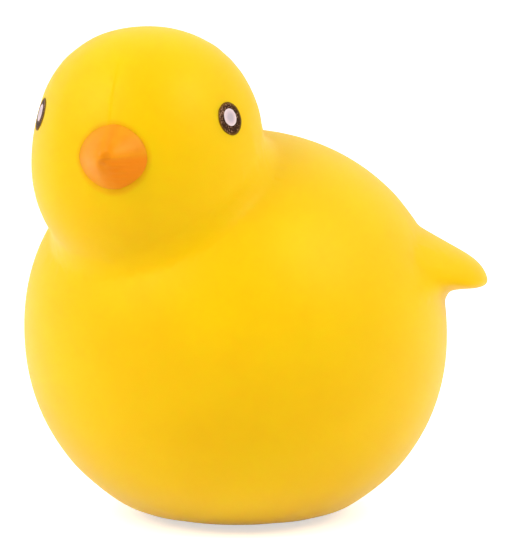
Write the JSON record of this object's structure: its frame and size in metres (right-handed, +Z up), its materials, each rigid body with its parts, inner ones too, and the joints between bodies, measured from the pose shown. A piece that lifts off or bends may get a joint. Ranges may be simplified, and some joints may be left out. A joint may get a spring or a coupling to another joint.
{
  "type": "squeeze chick",
  "caption": "Soft moulded chick for the hand or desk, round body on a flat base, turned head with a sprayed beak and printed eyes, broad pointed tail.",
  "frame": {"origin": "on the flat base, under the middle of the round body", "axes": "+Z up; the body looks along -Y and the tail points along +Y; the head is turned toward +X"},
  "size_m": [0.059, 0.0617, 0.0661],
  "materials": {
    "yellow_skin": "soft translucent yellow rubber, satin, faintly powdery",
    "beak_orange": "thin sprayed orange, satin",
    "eye_brown": "dark brown pad print, slightly speckled",
    "eye_white": "pinkish white pad print"
  },
  "bodies": {
    "root": {"chick_body": "yellow_skin", "beak_paint": "beak_orange", "left_eye_ring": "eye_brown", "right_eye_ring": "eye_brown", "left_eye_spot": "eye_white", "right_eye_spot": "eye_white"}
  },
  "joints": []
}
